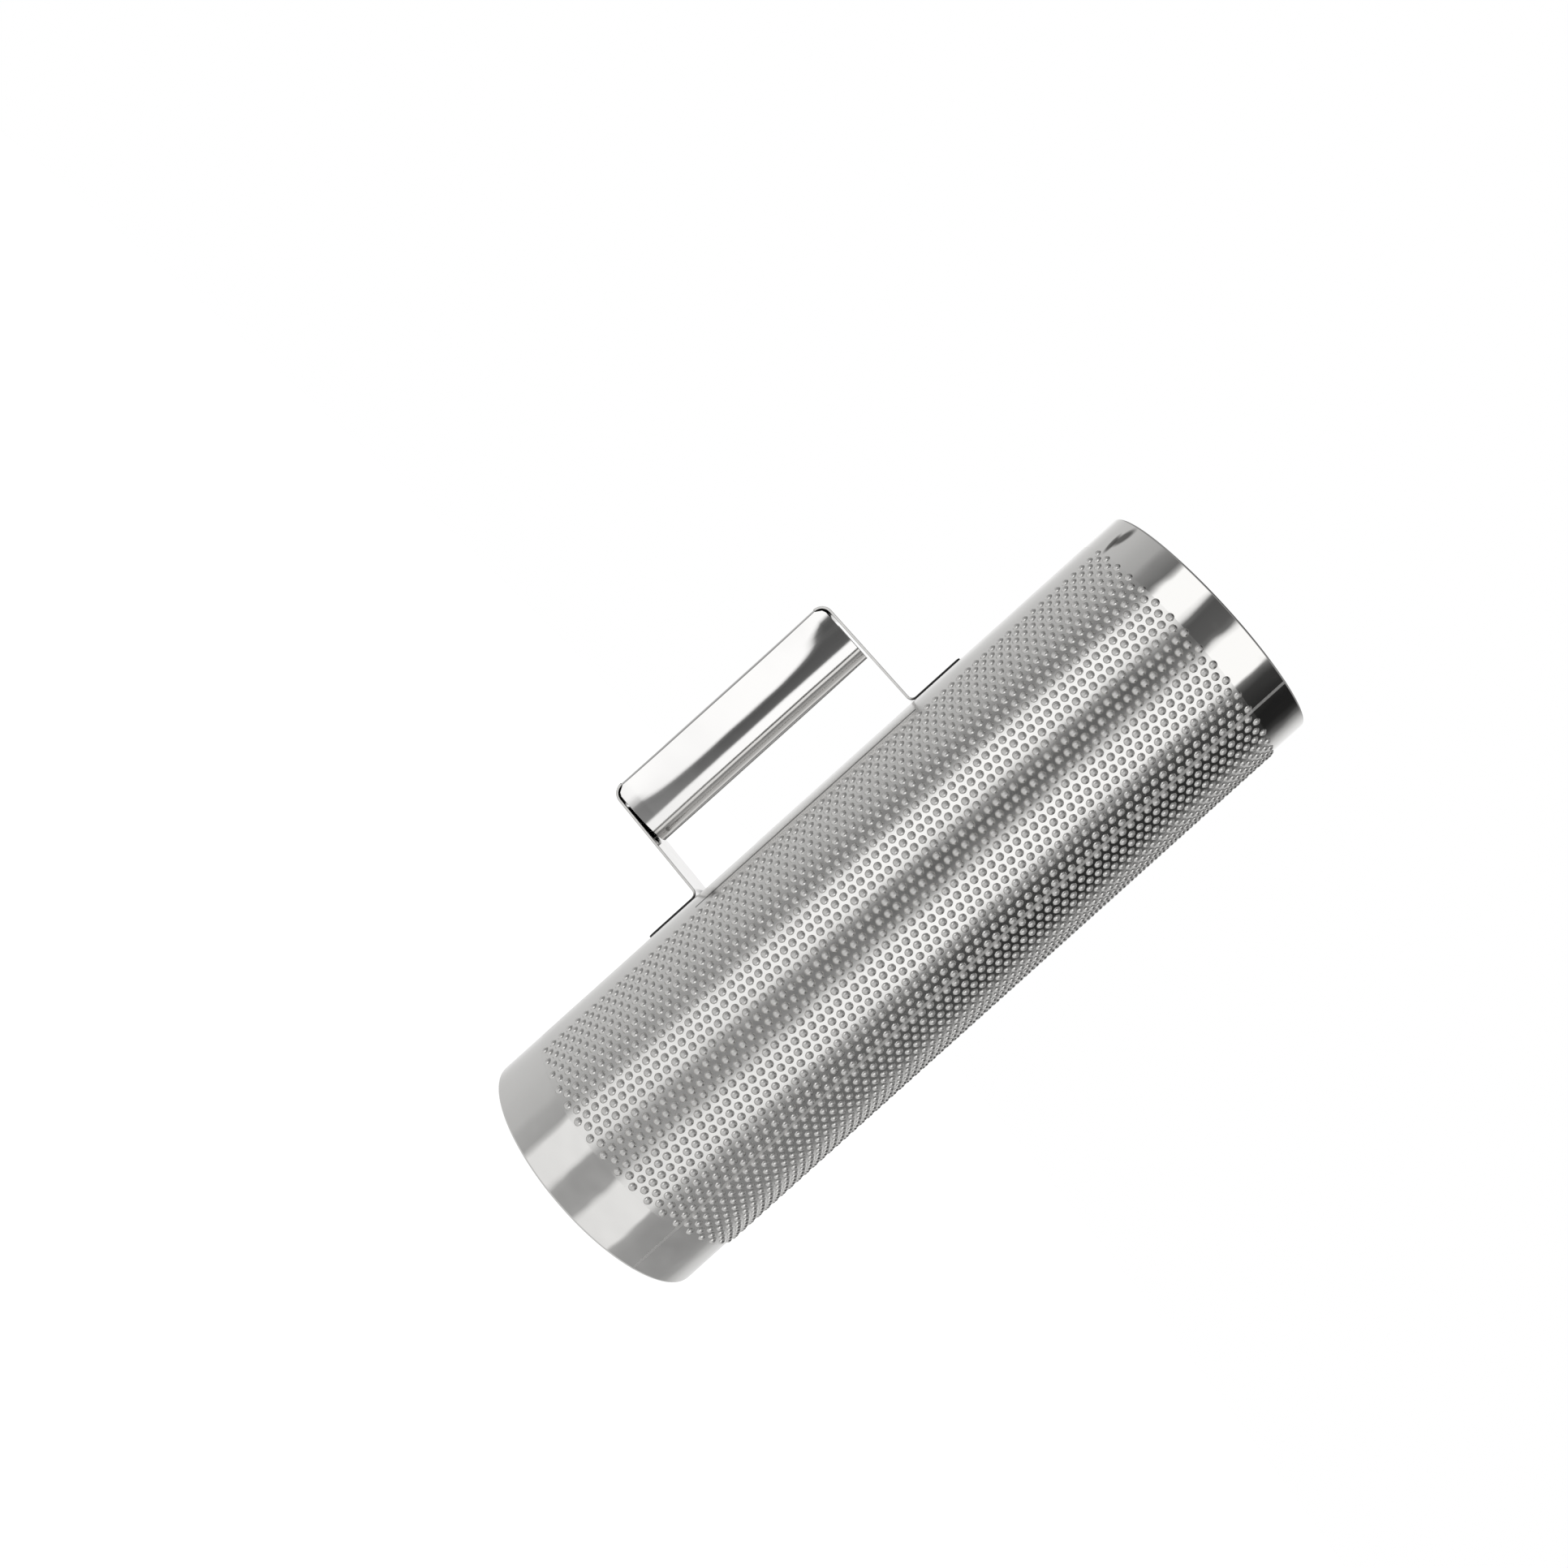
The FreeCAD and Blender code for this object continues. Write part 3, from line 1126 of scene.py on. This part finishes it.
    def build(self) -> None:
        """Set up the camera, the surroundings, the floor and the lamp."""
        self.camera()
        self.world()
        self.floor()
        self.lamp()
        bpy.context.scene.view_settings.view_transform = "Standard"


def main() -> None:
    """Build the guira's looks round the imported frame."""
    logging.basicConfig(level=logging.INFO, format="%(name)s: %(message)s")
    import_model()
    tube = PressedTube()
    handle = FoldedHandle()
    # Cold-rolled stainless sheet, buffed: a near mirror with hair-fine lines along the roll.
    tube_steel = SteelFinish(
        "buffed stainless sheet",
        Surface.BUFFED,
        "#E4E3E1",
        roughness=0.025,
        roughness_spread=0.06,
        scratch_width_mm=0.35,
        scratch_depth=0.06,
        smudge_mm=16.0,
        ripple_mm=11.0,
        ripple_depth_mm=0.16,
        bump_roughness=0.33,
        field_roughness=0.15,
        field_span=(tube.first_bump - tube.pitch / 2, tube.length - 15.4 * MM),
        plain_radius=tube.radius,
        weld_line=tube.seam_azimuth,
        # Painted shade beside the handle, only between its uprights, as two dark lines.
        scribed_lines=tube.scribed_lines(handle.low + 1 * MM, handle.high - 1 * MM),
        # Painted reflections: two short dark strokes near the upper rim, standing for something dark
        # mirrored in the band.
        painted_reflections=(
            (math.radians(-134.2), 295.6 * MM, math.radians(-15), 2.6 * MM, 6.2 * MM),
            (math.radians(-136.9), 291.6 * MM, math.radians(12), 1.8 * MM, 5.4 * MM),
        ),
    ).material()
    handle_steel = SteelFinish(
        "buffed stainless strap",
        Surface.BUFFED,
        "#E6E5E4",
        roughness=0.06,
        roughness_spread=0.05,
        scratch_width_mm=0.4,
        scratch_depth=0.08,
        smudge_mm=12.0,
        ripple_mm=14.0,
        ripple_depth_mm=0.12,
    ).material()
    # Sheared steel edge: dull and darker, since the shear leaves it rough.
    cut_steel = SteelFinish(
        "sheared stainless edge",
        Surface.SHEARED,
        "#C9C8C6",
        roughness=0.22,
        roughness_spread=0.15,
        scratch_width_mm=0.2,
        scratch_depth=0.3,
        smudge_mm=4.0,
        ripple_mm=6.0,
        ripple_depth_mm=0.02,
        # Painted shade: the cut edges darken next to the tube, where the gap under the feet lies in shade.
        joint_shade_radius=tube.radius + 1.1 * MM,
    ).material()
    sectors = tube.build(tube_steel)
    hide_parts("scraper_tube")
    grip = handle.build([handle_steel, cut_steel])
    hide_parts("handle")
    Studio().build()
    bpy.context.view_layer.update()


if __name__ == "__main__":
    main()
